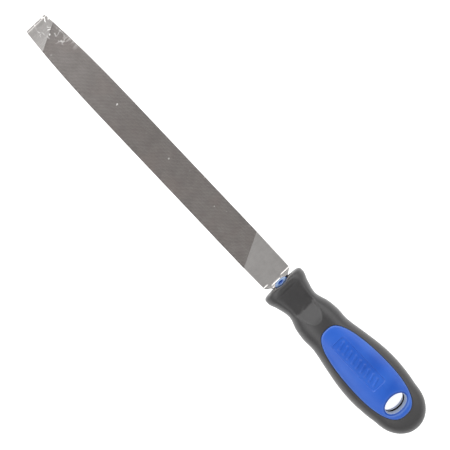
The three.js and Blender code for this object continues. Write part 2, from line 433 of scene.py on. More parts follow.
GRIP_SPACING = 1.15
LINING_SPACING = 2.5
BORDER_SPACING = 1.1
SCOOP_SPACING = 0.42
SCOOP_REACH = 9.2  # half width of the finely meshed strip round the scoop
SECTION_POINTS = 53
FILL_CLEARANCE = 0.45  # of fill points from the rings, in spacings
TAIL_CAP_ANGLE = math.radians(88)
FILLET_TURNS = np.radians([0, 12, 24, 36, 48, 60, 75, 90])
# Rings round the panel's window, by their distance from its rim.
WINDOW_STEPS = (0, 0.07, 0.16, 0.3, 0.55, 1.0)
LINING_WINDOW_STEPS = (0, 1.2)
SEAM_ROUND = 0.35
FACE_CROWN = 0.35
UNROLL = 15.0  # millimetres of section length for each radian, near enough, to flatten the handle


def unrolled(s, y, inset=0.0):
    """A point on the handle's surface as flat coordinates: distance along it, distance round it."""
    reach = TAIL_REACH - inset
    into_tail = np.clip((s - TAIL_START) / reach, 0, 1)
    along = np.where(s > TAIL_START, TAIL_START + reach * np.arcsin(into_tail), s)
    half_width, _ = handle_half_sizes(s, inset)
    share = np.clip(np.abs(y) / half_width, 0, 1)
    return stacked(along, UNROLL * np.sign(y) * np.arcsin(share ** (SQUARENESS / 2)))


def smooth_minimum(a, b, radius):
    """The lower of a and b, with the corner between them rounded."""
    blend = np.clip(0.5 + 0.5 * (b - a) / radius, 0, 1)
    return b + (a - b) * blend - radius * blend * (1 - blend)


def rolled(flat, inset=0.0):
    """Flat coordinates back on the upper half of the handle's surface, or of one that lies inset below it."""
    along, round_ = flat[:, 0], flat[:, 1]
    reach = TAIL_REACH - inset
    turn = np.clip((along - TAIL_START) / reach, 0, math.pi / 2)
    s = np.where(along > TAIL_START, TAIL_START + reach * np.sin(turn), along)
    half_width, half_height = handle_half_sizes(s, inset)
    y, z = superellipse(half_width, half_height, round_ / UNROLL)
    return stacked(-s, y, z)


def scoop_surface(s, y):
    """Height of the thumb scoop's surface above the axis, and how much of it is tongue: 0 to 1."""
    falling = (SCOOP.floor - SCOOP.front_height) / (SCOOP.deepest - SCOOP.front)
    climbing = (SCOOP.rim - SCOOP.floor) / (SCOOP.back - SCOOP.deepest)
    from_deepest = s - SCOOP.deepest
    along = SCOOP.floor - smooth_minimum(
        -falling * from_deepest, -climbing * from_deepest, SCOOP.crease)
    bowl_wall = SCOOP.bowl_curve * y ** 2 + SCOOP.front_slope * np.maximum(SCOOP.front - s, 0)
    rounding = np.maximum(s - SCOOP.tongue_square, 0) / (SCOOP.back - SCOOP.tongue_square)
    reach = np.hypot(rounding, y / SCOOP.tongue_half_width)
    tongue_wall = SCOOP.tongue_slope * SCOOP.tongue_half_width * np.maximum(reach - 1, 0)
    tongue = np.clip(0.5 + from_deepest / SCOOP.turnover, 0, 1)
    return along + bowl_wall * (1 - tongue) + tongue_wall * tongue, tongue


def scooped(points):
    """The grip's skin with the thumb scoop pressed into it."""
    s, y, z = -points[:, 0], points[:, 1], points[:, 2]
    pressed, tongue = scoop_surface(s, y)
    blend = SCOOP.bowl_blend + (SCOOP.tongue_blend - SCOOP.bowl_blend) * tongue
    drop = np.where(s < SCOOP.back + SCOOP.margin, z - smooth_minimum(z, pressed, blend), 0)
    behind_mouth = np.clip((s - MOUTH_FILLET) / (SCOOP.front - MOUTH_FILLET), 0, 1)
    return stacked(-s, y, z - drop * behind_mouth)


def skin_sheet(front, inset, spacing, around, window_steps, fine=None):
    """The upper half of a skin of the handle, with the panel's window in it.

    It comes as flat points and triangles, with the window's flat rim and the half ring left open at the tail.
    """
    edge = UNROLL * math.pi / 2
    back = TAIL_START + (TAIL_REACH - inset) * TAIL_CAP_ANGLE
    lengthwise = np.linspace(front, back, int((back - front) / BORDER_SPACING))[1:-1]
    columns = UNROLL * around
    tail_end = stacked(back, columns)
    boundary = np.vstack([stacked(front, columns[::-1]), stacked(lengthwise, -edge),
                          tail_end, stacked(lengthwise[::-1], edge)])
    window = [unrolled(*panel_outline(SEAM + step).T, inset) for step in window_steps]
    fill = hexagonal_grid((front, -edge), (back, edge), spacing)
    if fine is not None:
        low, high, fine_spacing = fine
        in_fine = np.all((fill > low) & (fill < high), axis=1)
        fill = np.vstack([fill[~in_fine], hexagonal_grid(low, high, fine_spacing)])
    fill = clear_of(fill, [boundary], FILL_CLEARANCE * spacing)
    fill = clear_of(fill[~inside_ring(fill, window[-1])], [window[-1]], FILL_CLEARANCE * spacing)
    flat, triangles = triangulated([boundary, *window], fill, boundary, [window[0]])
    return flat, triangles, window[0], rolled(tail_end, inset)


def tail_cap(ring, inset):
    """The small end that closes the tail inside a half ring of points."""
    tip = (inset - HANDLE_LENGTH, 0, 0)
    return np.vstack([ring, [tip]]), [(i, len(ring), i + 1) for i in range(len(ring) - 1)]


def mouth_face(around):
    """Half rings from the skin's front edge, over the front of the guard and into the mouth."""
    rings = []
    for turn in FILLET_TURNS:
        s = MOUTH_FILLET * (1 - math.sin(turn))
        set_back = MOUTH_FILLET * (1 - math.cos(turn))
        half_width, half_height = handle_half_sizes(np.array(s))
        rings.append((s + FACE_CROWN * math.sin(turn), half_width - set_back, half_height - set_back))
    _, wide, high = rings[-1]
    for share, s in FACE_STEPS:
        rings.append((s, wide + (MOUTH_HALF[0] - wide) * share, high + (MOUTH_HALF[1] - high) * share))
    rings.append((MOUTH_DEPTH, *MOUTH_HALF))
    rings.append((MOUTH_DEPTH, *handle_half_sizes(np.array(MOUTH_DEPTH), GRIP_WALL)))
    points = []
    for s, half_width, half_height in rings:
        y, z = superellipse(half_width, half_height, around)
        ahead = max(1 - s / MOUTH_FILLET, 0)
        notch = NOTCH.depth * ahead * bell(y, NOTCH.half_width, 4)
        points.append(stacked(-s - notch, y, z))
    return tube(points, closed=False)


def grip_shell():
    """The soft grip: outer skin, inner skin, and the walls between them at the windows and the mouth."""
    around = np.linspace(-math.pi / 2, math.pi / 2, SECTION_POINTS)
    scoop_edge = unrolled(np.array([SCOOP.deepest]), np.array([SCOOP_REACH]))[0, 1]
    fine = ((SCOOP.front - SCOOP.margin, -scoop_edge), (SCOOP.back + SCOOP.margin, scoop_edge),
            SCOOP_SPACING)
    flat, triangles, rim, tail = skin_sheet(
        MOUTH_FILLET, 0, GRIP_SPACING, around, WINDOW_STEPS, fine)
    skin = scooped(rolled(flat))
    skin[:, 2] -= round_off(distance_to(flat, rim), SEAM_ROUND)
    inner_flat, inner_triangles, inner_rim, inner_tail = skin_sheet(
        MOUTH_DEPTH, GRIP_WALL, LINING_SPACING, around, LINING_WINDOW_STEPS)
    top, foot = rolled(rim) - (0, 0, SEAM_ROUND), rolled(inner_rim, GRIP_WALL)
    upper = join_shells([
        (skin, triangles),
        tail_cap(tail, 0),
        tube([top, foot]),
        (rolled(inner_flat, GRIP_WALL), inner_triangles),
        tail_cap(inner_tail, GRIP_WALL),
        mouth_face(around),
    ])
    return join_shells([upper, mirrored(upper)])


# ---- core

PANEL_SPACING = 0.85
FRAME_SPACING = 0.8
BAR_SPACING = 0.45
RELIEF_CLEARANCE = 0.3
FOOT_MARGIN = 0.02  # so that points on a bar's foot count as inside it
# Rings inside the panel's edge and round the hang hole's, by their distance from it.
PANEL_EDGE_STEPS = (0, 0.05, 0.12, 0.2, 0.3, 0.8, 0.88, 1.3)
HOLE_EDGE_STEPS = (0, 0.5, 1.0, 1.08, 1.5)
# Rings of the hole's wall above its groove, by their share of the way down.
HOLE_WALL_STEPS = (0, 0.03, 0.3, 0.6, 0.97, 1)
GROOVE_EDGE = 0.05
COLLAR_POINTS = 56
LIP_ROWS = 17
LIP_POINTS = 36


def panel_height(s, y):
    """Height of the hard panel's surface above the axis, before its edges are rounded."""
    half_width, half_height = handle_half_sizes(s)
    share = np.clip(np.abs(y) / (half_width + PANEL.proud_sides), 0, 1)
    return (half_height + PANEL.proud) * (1 - share ** SQUARENESS) ** (1 / SQUARENESS)


def panel_edge_drop(distance):
    """How far the panel's surface has dropped at a distance inside its outline, by a bevel and a round."""
    bevel = PANEL.bevel_slope * np.maximum(PANEL.bevel_width - distance, 0)
    return bevel + round_off(distance, PANEL.edge_round)


def relief_bars():
    """Outlines of the slanted bars that stand in the frame, each as (foot ring, top ring)."""
    middle = (FRAME.front + FRAME.back) / 2
    bars = []
    for centre in np.linspace(middle - BARS.spread / 2, middle + BARS.spread / 2, BARS.count):
        rings = []
        for inset in (0, BARS.top_inset * BARS.slope_width):
            half_width = BARS.half_width - inset
            ring = rounded_rectangle(centre - half_width, centre + half_width,
                                     BARS.half_length - inset, BARS.corner, BAR_SPACING)
            ring[:, 0] += BARS.slant * ring[:, 1]
            rings.append(ring)
        bars.append(rings)
    return bars


def frame_rings():
    """The frame line round the bars: its outer foot, its crest and its inner foot."""
    return [
        rounded_rectangle(FRAME.front + inset, FRAME.back - inset, FRAME.half_width - inset,
                          FRAME.corner, FRAME_SPACING)
        for inset in (0, FRAME.slope_width, 2 * FRAME.slope_width)
    ]


def with_relief(height, flat, frame_line, bars):
    """Heights of the panel's face with the frame line, the sunk field inside it and the bars."""
    from_crest = distance_to(flat, frame_line[1]) / FRAME.slope_width
    in_field = inside_ring(flat, frame_line[1])
    height = height + FRAME.height * np.clip(1 - from_crest, 0, 1)
    height -= FRAME.field_depth * np.where(in_field, np.clip(from_crest, 0, 1), 0)
    for foot, _ in bars:
        rise = np.clip(distance_to(flat, foot) / BARS.slope_width, 0, 1) * BARS.height
        height += np.where(inside_ring(flat, offset_ring(foot, FOOT_MARGIN)), rise, 0)
    return height


def panel_face_light(s, from_edge, from_hole):
    """Painted light of the panel's face, carried as wear: lighter on its bevel, partly rubbed and partly a
    painted highlight, a painted highlight on the hole's chamfer behind the hole, and painted shade in the
    hole's rim.
    """
    wear_and_painted_light = WEAR_AND_HIGHLIGHTS.edge * bell(from_edge - PANEL.bevel_width / 2, WEAR_AND_HIGHLIGHTS.edge_width)
    # The chamfer's painted highlight is strongest on the butt side, whose chamfer faces the light from the
    # point.
    towards_butt = np.clip((s - HOLE.centre) / HOLE.along, WEAR_AND_HIGHLIGHTS.rim_least, 1)
    wear_and_painted_light += WEAR_AND_HIGHLIGHTS.rim * towards_butt * bell(from_hole - WEAR_AND_HIGHLIGHTS.rim_at, WEAR_AND_HIGHLIGHTS.rim_width)
    wear_and_painted_light -= PAINTED_SHADE.rim * bell(from_hole - PAINTED_SHADE.rim_at, PAINTED_SHADE.rim_width)
    return wear_and_painted_light * np.clip(from_hole / WEAR_AND_HIGHLIGHTS.rim_start, 0, 1)


def panel_face():
    """The panel's outer face, round the hang hole, with its wear."""
    edge_rings = [panel_outline(-step) for step in PANEL_EDGE_STEPS]
    hole_rings = [hole_outline(step) for step in HOLE_EDGE_STEPS]
    frame_line = frame_rings()
    bars = relief_bars()
    relief = [*frame_line, *(ring for pair in bars for ring in pair)]
    low, high = (PANEL.front, -PANEL.half_width), (PANEL.back, PANEL.half_width)
    fill = hexagonal_grid(low, high, PANEL_SPACING)
    fill = fill[inside_ring(fill, edge_rings[-1]) & ~inside_ring(fill, hole_rings[-1])]
    fill = clear_of(fill, [edge_rings[-1], hole_rings[-1], *relief], RELIEF_CLEARANCE)
    flat, triangles = triangulated(
        [*edge_rings, *hole_rings, *relief], fill, edge_rings[0], [hole_rings[0]])
    from_edge, from_hole = distance_to(flat, edge_rings[0]), distance_to(flat, hole_rings[0])
    height = panel_height(*flat.T) - panel_edge_drop(from_edge)
    height -= HOLE.chamfer_depth * np.clip(1 - from_hole / HOLE.chamfer_width, 0, 1)
    height = with_relief(height, flat, frame_line, bars)
    points = stacked(-flat[:, 0], flat[:, 1], height)
    return (points, triangles), panel_face_light(flat[:, 0], from_edge, from_hole)


def panel_wall():
    """The panel's side wall, down to a flange below the grip, and on to the parting plane."""
    outline = panel_outline(0)
    rim = stacked(-outline[:, 0], outline[:, 1], panel_height(*outline.T) - panel_edge_drop(0))
    spread_out = offset_ring(outline, FLANGE_WIDTH)
    flange = rolled(unrolled(*spread_out.T, FLANGE_INSET), FLANGE_INSET)
    step = stacked(*rim[:, :2].T, flange[:, 2])
    return tube([rim, step, flange, flange * (1, 1, 0)])


def hole_wall():
    """The hang hole's wall, narrowing to its waist and then down to the groove, with its painted light."""
    rim = hole_outline(0)
    offset = rim - (HOLE.centre, 0)
    top, groove_top = panel_height(*rim.T) - HOLE.chamfer_depth, HOLE.groove_half_height
    rings = []
    for share in HOLE_WALL_STEPS:
        scale = 1 - (1 - HOLE.waist) * share
        z = top + (groove_top - top) * share
        rings.append(stacked(-HOLE.centre - offset[:, 0] * scale, offset[:, 1] * scale, z))
    waist = rings[-1][:, :2] + (HOLE.centre, 0)
    deep = waist + waist / np.linalg.norm(waist, axis=1)[:, None] * HOLE.groove_depth
    for z in (groove_top - GROOVE_EDGE, 0):
        rings.append(stacked(deep[:, 0] - HOLE.centre, deep[:, 1], z))
    # The rim keeps its own colour, the wall is painted lighter as a painted reflection, and its foot and the
    # groove are painted dark as painted shade.
    wear_and_painted_light = np.repeat([0.0] + [WEAR_AND_HIGHLIGHTS.hole] * 4 + [-PAINTED_SHADE.groove] * 3, len(rim))
    return tube(rings), wear_and_painted_light


def core_shell():
    """The hard core as it shows, with its painted light and wear: a panel on each side, joined through the
    hang hole.
    """
    face, face_light = panel_face()
    wall = panel_wall()
    hole, hole_light = hole_wall()
    collar = collar_shell()
    lip, lip_light = lip_shell()
    upper = join_shells([face, wall, hole])
    upper_light = [face_light, np.zeros(len(wall[0])), hole_light]
    # Painted shade over the whole collar, which lies back in the mouth.
    collar_painted_shade = np.full(len(collar[0]), -PAINTED_SHADE.collar)
    wear_and_painted_light = np.concatenate([*upper_light, *upper_light, collar_painted_shade, lip_light, lip_light])
    return join_shells([upper, mirrored(upper), collar, lip, half_turned(lip)]), wear_and_painted_light


def collar_shell():
    """The core's neck, from inside the panels to the oval end round the tang."""
    angle = full_turn(COLLAR_POINTS)
    return tube([
        stacked(-s, *superellipse(half_width, half_height, angle, exponent))
        for s, half_width, half_height, exponent in COLLAR_RINGS
    ])


def lip_shell():
    """The small rounded lip that lies on the tang at the mouth, with a dimple in its top.

    It comes with the painted light of each point: a light ring round the rim, partly whitening from pressing
    the tang in and partly a painted highlight, and painted shade in the dimple.
    """
    turn = full_turn(LIP_POINTS)
    rings, wear_and_painted_light = [], []
    for tilt in np.radians(np.linspace(0, LIP.undercut, LIP_ROWS)):
        ring_light = WEAR_AND_HIGHLIGHTS.lip * bell(tilt - WEAR_AND_HIGHLIGHTS.lip_at, WEAR_AND_HIGHLIGHTS.lip_width, 4)
        ring_light -= PAINTED_SHADE.dimple * bell(tilt, PAINTED_SHADE.dimple_width)
        wear_and_painted_light += [ring_light] * LIP_POINTS
        height = LIP.rise * math.cos(tilt) - LIP.dimple * bell(tilt, LIP.dimple_width)
        rings.append(stacked(
            LIP.x + LIP.reach * math.sin(tilt) * np.cos(turn),
            LIP.half_width * math.sin(tilt) * np.sin(turn),
            LIP.foot + height,
        ))
    rings.append(np.tile((LIP.x, 0, LIP.foot - LIP.closing), (LIP_POINTS, 1)))
    wear_and_painted_light += [0.0] * LIP_POINTS
    return tube(rings), np.array(wear_and_painted_light)


# ---- blade

BAR_COLUMNS = 33
BAR_ROWS = 24
LAND_SHARES = np.linspace(0.3, 1, 7)  # of the tip land's length, at which its sections stand
SIDE_SHARES = np.linspace(1, 0, 13) ** 1.4  # of the taper's length, closer together towards the point
CLIP_TOLERANCE = 1e-5
SLANT_PASSES = 4  # each finds the slanted line's place for the width that the last one gave


def lattice(cut):
    """A vector whose dot product with a place counts the furrows of a cut up to there."""
    direction = np.array(cut.across) / np.linalg.norm(cut.across)
    return direction / cut.pitch


def root_and_crest_lines(low, high, crest):
    """Where the roots and crests of a cut's furrows lie, counted in furrows."""
    roots = np.arange(low, high)
    return np.sort(np.concatenate([roots, roots + crest]))


def tooth_lattice():
    """Where the two cuts' roots and crests cross, which crossings are teeth, and the quads between them."""
    steps = np.vstack([lattice(UPCUT), lattice(OVERCUT)])
    ends = (CUT_END_HEEL_X - LATTICE_REACH, CUT_END_TIP_X + LATTICE_REACH)
    corners = np.array([(x, y) for x in ends for y in (-LATTICE_HALF_WIDTH, LATTICE_HALF_WIDTH)])
    phases = corners @ steps.T
    low, high = np.floor(phases.min(axis=0)).astype(int), np.ceil(phases.max(axis=0)).astype(int)
    p = root_and_crest_lines(low[0], high[0], UPCUT.crest)
    q = root_and_crest_lines(low[1], high[1], OVERCUT.crest)
    grid_p, grid_q = np.meshgrid(p, q, indexing="ij")
    xy = stacked(grid_p.ravel(), grid_q.ravel()) @ np.linalg.inv(steps).T
    xy += WANDER.reach * np.sin(xy[:, ::-1] / WANDER.length + 2 * np.sin(xy / WANDER.inner_length))
    crest = ((np.arange(len(p)) % 2 == 1)[:, None] & (np.arange(len(q)) % 2 == 1)[None, :]).ravel()
    useful = (xy[:, 0] > CUT_END_HEEL_X - CLIP_REACH) & (xy[:, 0] < CUT_END_TIP_X + CLIP_REACH)
    useful &= np.abs(xy[:, 1]) < LATTICE_HALF_WIDTH
    quads = ring_faces(len(p), len(q), closed=False)
    return xy, crest, [(a, d, c, b) for a, b, c, d in quads if all(useful[[a, b, c, d]])]


def clip_to_cut(cut):
    """Cuts a flat mesh off at the cut's slanted ends and along the blade's two edges."""
    def clip(point, outwards):
        bmesh.ops.bisect_plane(
            cut, geom=[*cut.verts, *cut.edges, *cut.faces], dist=CLIP_TOLERANCE,
            plane_co=(*point, 0), plane_no=(*outwards, 0), clear_outer=True,
        )

    clip((CUT_END_TIP_X, 0), (1, CUT_END_SLANT))
    clip((CUT_END_HEEL_X, 0), (-1, -CUT_END_SLANT))
    side = [CUT_END_HEEL_X - CLIP_REACH, TIP_X - BLADE_LENGTH + HEEL_TAPER]
    side += list(TIP_X - WIDTH_TAPER * SIDE_SHARES)
    for x0, x1 in zip(side, side[1:]):
        y0, y1 = blade_half_width(x0) - CUT_MARGIN, blade_half_width(x1) - CUT_MARGIN
        for sign in (1, -1):
            clip((x0, sign * y0), (y0 - y1, sign * (x1 - x0)))


def close_below(cut, crest_layer):
    """Walls from the rim of the teeth down into the bar, and a floor between them."""
    rim = [e for e in cut.edges if e.is_boundary]
    skirt = bmesh.ops.extrude_edge_only(cut, edges=rim)["geom"]
    for vert in (v for v in skirt if isinstance(v, bmesh.types.BMVert)):
        limit = blade_half_width(vert.co.x) - 2 * CUT_MARGIN
        vert.co.y = min(max(vert.co.y, -limit), limit)
        vert.co.z = blade_half_thickness(vert.co.x) - SLAB_DEPTH
        vert[crest_layer] = 0
    bmesh.ops.holes_fill(cut, edges=[e for e in cut.edges if e.is_boundary], sides=0)


def tooth_skin():
    """The teeth of the upper face: a lattice of pyramids, clipped to the cut area."""
    xy, crest, quads = tooth_lattice()
    cut = bmesh.new()
    layer = cut.verts.layers.float.new("crest")
    made = {}
    for quad in quads:
        for i in quad:
            if i not in made:
                made[i] = cut.verts.new((*xy[i], 0))
                made[i][layer] = float(crest[i])
        cut.faces.new([made[i] for i in quad])
    clip_to_cut(cut)
    for vert in cut.verts:
        vert.co.z = blade_half_thickness(vert.co.x) - TOOTH_DEPTH * (1 - vert[layer])
    close_below(cut, layer)
    cut.verts.index_update()
    points = np.array([tuple(v.co) for v in cut.verts])
    crests = np.array([v[layer] for v in cut.verts])
    faces = [tuple(v.index for v in f.verts) for f in cut.faces]
    cut.free()
    return (points, faces), crests


def edge_skin(side):
    """The single-cut teeth along one narrow edge; side is 1 or -1."""
    start, end = CUT_END_HEEL_X + EDGE_CUT.end_margin, CUT_END_TIP_X - EDGE_CUT.end_margin
    rings, crests = [], []
    for i in range(int((end - start) / EDGE_CUT.pitch)):
        for share, depth in ((0.0, EDGE_CUT.depth), (EDGE_CUT.crest, 0.0)):
            x = start + (i + share) * EDGE_CUT.pitch
            half_height = blade_half_thickness(x) - EDGE_CUT.side_margin
            z = np.array([half_height, half_height, -half_height, -half_height])
            along = x - EDGE_CUT.slant * z
            inside = np.array([SLAB_DEPTH, depth, depth, SLAB_DEPTH])
            y = side * (blade_half_width(along) - EDGE_CUT.sunk - inside)
            rings.append(stacked(along, y, z))
            crest = 1 - depth / EDGE_CUT.depth
            crests += [0, crest, crest, 0]
    return bar_shell(rings), np.array(crests)


def bar_ring(x, half_width, half_thickness, slant=0.0, bow=0.0, lift=0.0):
    """A section of the forging, from -y over the top to +y and back underneath.

    x is a number, but half_width and half_thickness may be functions of x. slant skews the section across
    the width, bow draws its crest out towards the handle and lift raises it.
    """
    share = np.linspace(-1, 1, BAR_COLUMNS)
    upper_x = x + 0 * share
    for _ in range(SLANT_PASSES):
        wide = half_width(upper_x) if callable(half_width) else half_width
        upper_x = x - slant * wide * share
    high = half_thickness(upper_x) if callable(half_thickness) else half_thickness
    wide, high = wide + 0 * share, high + 0 * share
    flat_y = (wide - EDGE_CHAMFER) * share
    bowed = upper_x - bow * np.interp(flat_y, CREST_STEPS_Y, CREST_STEPS)
    burr = lift + 0 * share
    for gap in CREST_GAPS_Y:
        burr *= 1 - bell(flat_y - gap, CREST_GAP_WIDTH)
    upper = stacked(bowed, flat_y, high + burr)
    lower = upper * (1, -1, -1)
    # The upper and lower corner of the edge at +y; half a turn makes those of the other edge.
    side = stacked(upper_x[[-1, 0]], wide[[-1, 0]], (high[[-1, 0]] - EDGE_CHAMFER) * (1, -1))
    return np.vstack([upper, side, lower, side * (1, -1, -1)])


def bar_shell(rings):
    """A closed solid through the rings, with a flat face over the first and the last."""
    points, faces = tube(rings)
    count = len(rings[0])
    return points, [*faces, tuple(reversed(range(count))), tuple(range(len(points) - count, len(points)))]


def tip_land():
    """The smooth uncut end of the blade, with the bevel at its point."""
    length = TIP_X - CUT_END_TIP_X + LAND_OVERLAP
    bevel_start = TIP_X - TIP_BEVEL.outer - TIP_BEVEL.inner
    rings = [
        bar_ring(TIP_X, TIP_WIDTH / 2 - TIP_BEVEL.outer_inset, TIP_BEVEL.outer_height),
        bar_ring(TIP_X - TIP_BEVEL.outer, TIP_WIDTH / 2 - TIP_BEVEL.inner_inset,
                 TIP_BEVEL.inner_height),
        bar_ring(bevel_start, blade_half_width, blade_half_thickness),
        bar_ring(bevel_start - TIP_BEVEL.crease, blade_half_width, blade_half_thickness),
    ]
    for share in LAND_SHARES:
        rings.append(bar_ring(TIP_X - length * share, blade_half_width, blade_half_thickness,
                              CUT_END_SLANT * share))
    return bar_shell(rings)


def heel_land():
    """The smooth heel, the shoulder and the tang."""
    rings = [
        bar_ring(x, blade_half_width, blade_half_thickness, CUT_END_SLANT * share)
        for x, share in ((CUT_END_HEEL_X + LAND_OVERLAP, 1), *HEEL_RINGS)
    ]
    for x, half_width, half_thickness, bow, lift in SHOULDER_RINGS:
        rings.append(bar_ring(x, half_width, half_thickness, 0, bow, lift))
    for x, half_width, half_thickness in TANG_RINGS:
        rings.append(bar_ring(x, half_width, half_thickness))
    return bar_shell(rings)


def bar_under_teeth():
    """The steel just below the roots of the teeth."""
    def half_width(x):
        return blade_half_width(x) - BAR_INSET

    def half_thickness(x):
        return blade_half_thickness(x) - BAR_DEPTH

    along = np.linspace(CUT_END_TIP_X + BAR_OVERLAP, CUT_END_HEEL_X - BAR_OVERLAP, BAR_ROWS)
    return bar_shell([bar_ring(x, half_width, half_thickness) for x in along])


# ---- materials

# Colours are linear red, green and blue. Tones run from a material's darkest to its lightest.
GRIP_TONES = ((0.0135, 0.0126, 0.0133), (0.0207, 0.0194, 0.02))
GRIP_DUST = (0.048, 0.044, 0.042)
BLUE_TONES = ((0.004, 0.06, 0.345), (0.014, 0.089, 0.415))
BLUE_SCRATCHED = (0.09, 0.2, 0.55)
BLUE_PATCH = (0.003, 0.074, 0.42)
# Painted light on the blue: the colour of its rubbed and lit places, and of its painted shade.
BLUE_RUBBED_AND_LIT = (0.26, 0.36, 0.5)
BLUE_PAINTED_SHADE = (0.003, 0.004, 0.012)
# Painted shade on the teeth: darkest at their roots, where the furrows hold shade, lighter towards their
# crests.
CUT_ROOT_SHADE_TONES = ((0.164, 0.153, 0.147), (0.27, 0.252, 0.242), (0.37, 0.346, 0.334))
CUT_TONE_HEIGHTS = (0.0, 0.12, 1.0)  # from the root of a tooth to its crest
# Painted shade, multiplied in away from the point, so the blade is lighter towards its point where more light
# falls.
CUT_SHADE_BEHIND_POINT = (0.72, 0.714, 0.708)  # multiplied in, away from the point
CUT_WORN = (0.84, 0.83, 0.83)  # multiplied in, in blotches
CUT_BROWNED = (0.22, 0.182, 0.168)
# Bright nicks and chips: partly wear on the steel, partly painted glints.
NICK_GLINT = (0.85, 0.84, 0.82)
CHIP_GLINT = (0.8, 0.79, 0.77)
GROUND_TONES = ((0.483, 0.465, 0.452), (0.546, 0.527, 0.513))
GROUND_SPOT = (0.22, 0.18, 0.16)
# Darker in blotches towards the point.
GROUND_TIP_DARKENING = (0.3, 0.285, 0.275)
# Painted dark on the upright sides: forge skin, and painted shade.
FORGE_SKIN_AND_SHADE_TONES = ((0.13, 0.125, 0.12), (0.2, 0.19, 0.185))
# Painted glints near the point: their white, and the steel's metalness where they lie.
GLINT_WHITE = (0.92, 0.92, 0.9)
GLINT_METALNESS = 0.1


def set_inputs(node, inputs):
    """Sets or links a node's inputs, by name or number; colours come without alpha."""
    for name, value in inputs.items():
        socket = node.inputs[name]
        if isinstance(value, bpy.types.NodeSocket):
            node.id_data.links.new(value, socket)
        else:
            socket.default_value = (*value, 1) if socket.type == "RGBA" else value


def add_node(owner, kind, inputs, **settings):
    """The outputs of a new node, set up in the node tree that owner belongs to."""
    node = owner.id_data.nodes.new("ShaderNode" + kind)
    for name, value in settings.items():
        setattr(node, name, value)
    set_inputs(node, inputs)
    return node.outputs


def new_material(name):
    """A material with its shader and the place in object space."""
    material = bpy.data.materials.new(name)
    material.use_nodes = True
    shader = material.node_tree.nodes["Principled BSDF"]
    return material, shader, add_node(shader, "TexCoord", {})["Object"]


def attribute(owner, name):
    """A value that the mesh carries at its points."""
    return add_node(owner, "Attribute", {}, attribute_name=name)["Fac"]


def noise(place, scale, detail=4.0, stretch=(1, 1, 1), roughness=0.5, distortion=0.0):
    """Noise in object space; scale is in features per metre."""
    mapped = add_node(place, "Mapping", {"Vector": place, "Scale": stretch})["Vector"]
    return add_node(place, "TexNoise", {
        "Vector": mapped, "Scale": scale, "Detail": detail, "Roughness": roughness, "Distortion": distortion,
    })["Fac"]


def ramp(factor, positions, colours):
    """A colour ramp with these colours at these positions."""
    node = factor.id_data.nodes.new("ShaderNodeValToRGB")
    elements = node.color_ramp.elements
    while len(elements) < len(colours):
        elements.new(0.5)
    for element, position, colour in zip(elements, positions, colours):
        element.position = position
        element.color = (*colour, 1)
    set_inputs(node, {"Fac": factor})
    return node.outputs["Color"]


def spread(factor, low, high, start=0.3, end=0.7):
    """A factor mapped from start..end to low..high."""
    return add_node(factor, "MapRange", {
        "Value": factor, "From Min": start, "From Max": end, "To Min": low, "To Max": high,
    })["Result"]


def mixed(factor, first, second):
    """Two colours mixed by a factor's socket."""
    return add_node(factor, "Mix", {"Factor": factor, "A": first, "B": second}, data_type="RGBA")["Result"]


def multiplied(colour, by):
    """A colour's socket with every channel multiplied."""
    return add_node(colour, "Mix", {"Factor": 1.0, "A": colour, "B": by},
                    data_type="RGBA", blend_type="MULTIPLY")["Result"]


def overlaid(colour, other, factor, most=1.0, start=0.3, end=0.7):
    """A colour under another, of which there is none where factor is start and most where it is end."""
    return mixed(spread(factor, 0, most, start, end), colour, other)


def bump(shader, layers):
    """Bumps laid on one another; layers are (height socket, strength, distance in metres)."""
    below = {}
    for height, strength, distance in layers:
        inputs = {"Height": height, "Strength": strength, "Distance": distance, **below}
        below = {"Normal": add_node(shader, "Bump", inputs)["Normal"]}
    set_inputs(shader, below)


def thin_lines(factor, middle, reach):
    """1 along the line where a factor crosses the middle value, 0 further than reach from it."""
    return ramp(factor, (middle - reach, middle, middle + reach), ((0,) * 3, (1,) * 3, (0,) * 3))


def product(*factors):
    """Several factors multiplied."""
    result = factors[0]
    for factor in factors[1:]:
        result = add_node(result, "Math", {0: result, 1: factor}, operation="MULTIPLY")[0]
    return result


def component(vector, axis):
    """One component of a vector."""
    return add_node(vector, "SeparateXYZ", {"Vector": vector})[axis]


def along_axis(place, axis, start, end):
    """0 before start and 1 after end, in metres along an axis."""
    return spread(component(place, axis), 0, 1, start, end)


def towards_tip(place, start, end):
    """0 to 1 from one distance behind the blade's point to another, in metres."""
    return along_axis(place, "X", BLADE_END - start, BLADE_END - end)


def upright_share(owner):
    """1 on the upright sides of the steel, painted dark as forge skin and as painted shade, and 0 on its
    flats.
    """
    normal = add_node(owner, "NewGeometry", {})["True Normal"]
    levelness = add_node(owner, "Math", {0: component(normal, "Z")}, operation="ABSOLUTE")[0]
    return spread(levelness, 1, 0, 0.4, 0.78)


def add_painted_glints(shader, place, colour, amount):
    """Painted glints: thin white squiggles that crowd towards the point, on one side. Sets the steel's colour
    and metalness.
    """
    squiggles = thin_lines(noise(place, 165, detail=1.2, distortion=1.3), 0.5, 0.034)
    broken = spread(noise(place, 230, detail=1), 0, 1, 0.44, 0.5)
    near_tip = towards_tip(place, 0.026, 0.01)
    one_side = along_axis(place, "Y", 0.007, -0.003)
    glints = spread(product(squiggles, broken, near_tip, one_side), 0, amount, 0.15, 0.6)
    set_inputs(shader, {"Base Color": mixed(glints, colour, GLINT_WHITE),
                        "Metallic": spread(glints, 1, GLINT_METALNESS, 0, 1)})
    return glints


